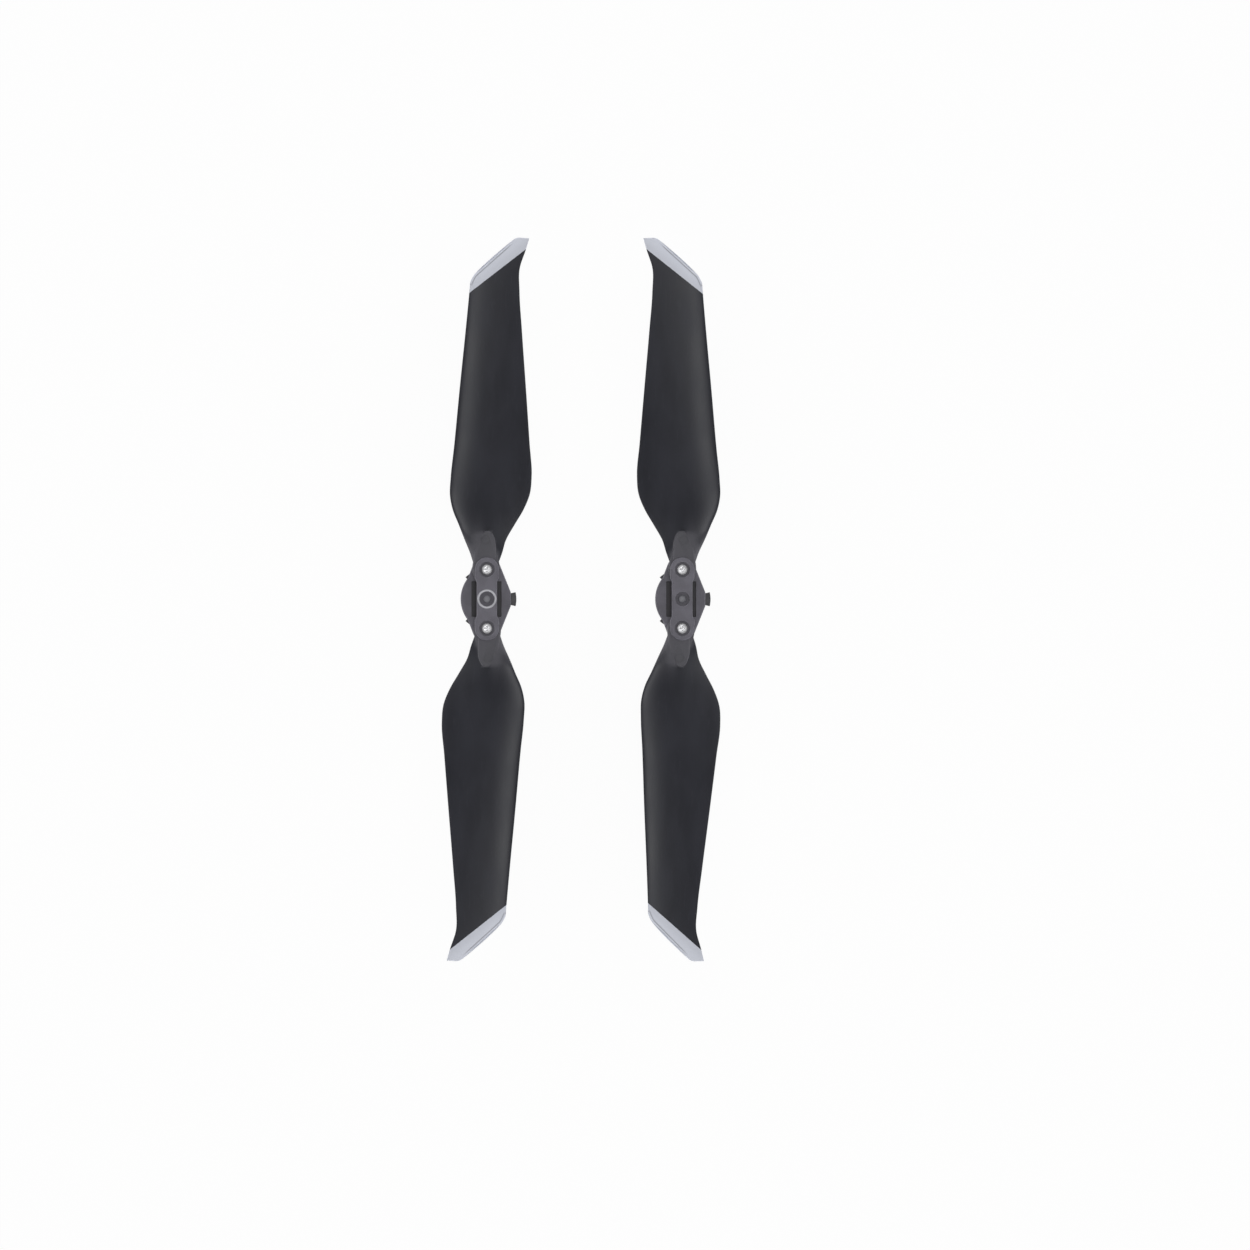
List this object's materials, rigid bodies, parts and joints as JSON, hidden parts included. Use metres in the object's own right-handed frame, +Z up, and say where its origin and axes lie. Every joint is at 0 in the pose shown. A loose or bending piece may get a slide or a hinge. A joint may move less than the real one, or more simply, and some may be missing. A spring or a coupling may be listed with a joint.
{
  "type": "propeller pair",
  "caption": "Folding low-noise drone propellers, a counter-clockwise and a clockwise one side by side, with swept silver tips and bayonet quick-release hubs.",
  "frame": {"origin": "middle of the pair's outline in plan, on the plane that the two bayonet rings stand on; each hub's axis is 28.4 mm from a line 0.9 mm to the +X side of the origin", "axes": "+Z up along both hub axes, away from the motors; +Y along the blades; +X from the counter-clockwise propeller to the clockwise one"},
  "size_m": [0.0815, 0.2111, 0.0102],
  "materials": {
    "blade_plastic": "satin, with silver-painted tips",
    "hub_plastic": "matte",
    "ring_plastic": "matte",
    "pin_plastic": "satin",
    "marker_ring": "satin",
    "pivot_screw": "bright",
    "dark_screw": "black oxide",
    "pivot_sleeve": "ground",
    "thrust_washer": "satin",
    "brass_insert": "satin"
  },
  "bodies": {
    "ccw_hub": {"ccw_hub_base": "hub_plastic", "ccw_hub_bar": "hub_plastic", "ccw_lock_ring": "ring_plastic", "ccw_lock_ring_screws": "dark_screw", "ccw_centre_pin": "pin_plastic", "ccw_marker_ring": "marker_ring", "ccw_pivot_screw_a": "pivot_screw", "ccw_pivot_sleeve_a": "pivot_sleeve", "ccw_lower_washer_a": "thrust_washer", "ccw_upper_washer_a": "thrust_washer", "ccw_threaded_insert_a": "brass_insert", "ccw_pivot_screw_b": "pivot_screw", "ccw_pivot_sleeve_b": "pivot_sleeve", "ccw_lower_washer_b": "thrust_washer", "ccw_upper_washer_b": "thrust_washer", "ccw_threaded_insert_b": "brass_insert"},
    "ccw_blade_a_body": {"ccw_blade_a": "blade_plastic"},
    "ccw_blade_b_body": {"ccw_blade_b": "blade_plastic"},
    "cw_hub": {"cw_hub_base": "hub_plastic", "cw_hub_bar": "hub_plastic", "cw_lock_ring": "ring_plastic", "cw_lock_ring_screws": "dark_screw", "cw_centre_pin": "pin_plastic", "cw_pivot_screw_a": "pivot_screw", "cw_pivot_sleeve_a": "pivot_sleeve", "cw_lower_washer_a": "thrust_washer", "cw_upper_washer_a": "thrust_washer", "cw_threaded_insert_a": "brass_insert", "cw_pivot_screw_b": "pivot_screw", "cw_pivot_sleeve_b": "pivot_sleeve", "cw_lower_washer_b": "thrust_washer", "cw_upper_washer_b": "thrust_washer", "cw_threaded_insert_b": "brass_insert"},
    "cw_blade_a_body": {"cw_blade_a": "blade_plastic"},
    "cw_blade_b_body": {"cw_blade_b": "blade_plastic"}
  },
  "joints": [
    {"name": "ccw_blade_a_fold", "type": "hinge", "parent": "ccw_hub", "child": "ccw_blade_a_body", "pos_m": [-0.0275, 0.00855, 0.006], "axis": [0, 0, 1], "range_deg": [-7.5, 90]},
    {"name": "ccw_blade_b_fold", "type": "hinge", "parent": "ccw_hub", "child": "ccw_blade_b_body", "pos_m": [-0.0275, -0.00855, 0.006], "axis": [0, 0, -1], "range_deg": [-7.5, 90]},
    {"name": "cw_propeller_lift", "type": "slide", "parent": "ccw_hub", "child": "cw_hub", "axis": [0, 0, 1], "range_m": [0, 0.06]},
    {"name": "cw_blade_a_fold", "type": "hinge", "parent": "cw_hub", "child": "cw_blade_a_body", "pos_m": [0.0293, 0.00855, 0.006], "axis": [0, 0, -1], "range_deg": [-7.5, 89.5]},
    {"name": "cw_blade_b_fold", "type": "hinge", "parent": "cw_hub", "child": "cw_blade_b_body", "pos_m": [0.0293, -0.00855, 0.006], "axis": [0, 0, 1], "range_deg": [-4.5, 93]}
  ]
}
